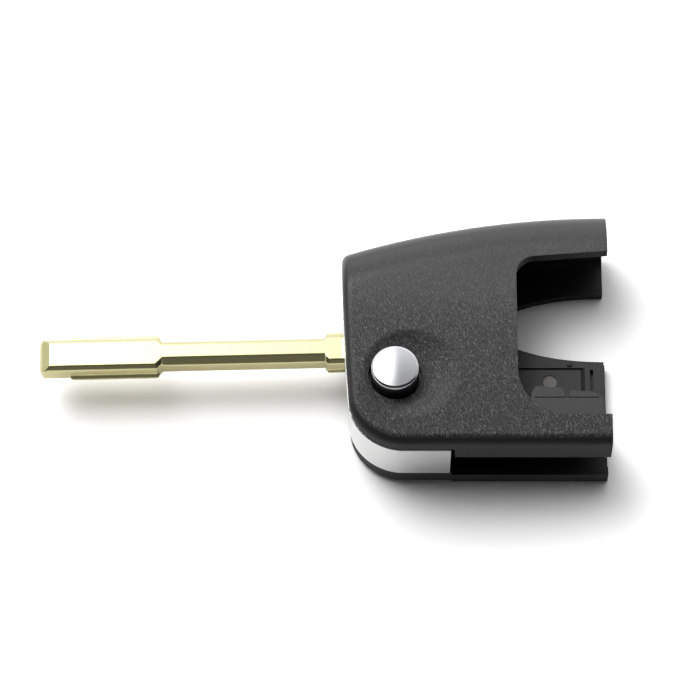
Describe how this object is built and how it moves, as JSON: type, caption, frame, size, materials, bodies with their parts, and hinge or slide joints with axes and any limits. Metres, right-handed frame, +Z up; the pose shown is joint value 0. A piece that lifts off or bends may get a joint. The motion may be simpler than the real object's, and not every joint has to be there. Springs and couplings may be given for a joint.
{
  "type": "flip key head",
  "caption": "Blade half of a flip key remote: hollow two-part case with a folding key blade on a sprung rotor, a round release button and a notched socket for the remote half.",
  "frame": {"origin": "the blade's pivot axis where it meets the flat underside that the case rests on", "axes": "+X towards the open end that takes the remote half, -X along the opened blade, +Y towards the curved spine, +Z up through the release button"},
  "size_m": [0.0871, 0.0399, 0.0188],
  "materials": {
    "case_plastic": "black moulded plastic with a fine spark-eroded texture",
    "silver_paint": "fine satin silver paint on a zinc die-casting",
    "blade_metal": "pale gold plated key blade with fine lengthwise polish",
    "pin_steel": "plain spring steel",
    "spring_steel": "drawn spring wire",
    "button_chrome": "polished chrome plating"
  },
  "bodies": {
    "case": {"upper_shell": "case_plastic", "lower_shell": "case_plastic", "return_spring": "spring_steel"},
    "rotor": {"blade_rotor": "silver_paint", "key_blade": "blade_metal", "blade_pin": "pin_steel"},
    "button": {"release_button": "button_chrome"}
  },
  "joints": [
    {"name": "blade_flip", "type": "hinge", "parent": "case", "child": "rotor", "pos_m": [0, 0, 0.0085], "axis": [0, 0, 1], "range_deg": [0, 180], "stiffness_Nm_per_rad": 0.012, "springref_deg": -28.65},
    {"name": "button_press", "type": "slide", "parent": "rotor", "child": "button", "axis": [0, 0, -1], "range_m": [0, 0.0024], "stiffness_N_per_m": 600, "springref_m": -0.002, "deforming": ["return_spring"]}
  ]
}
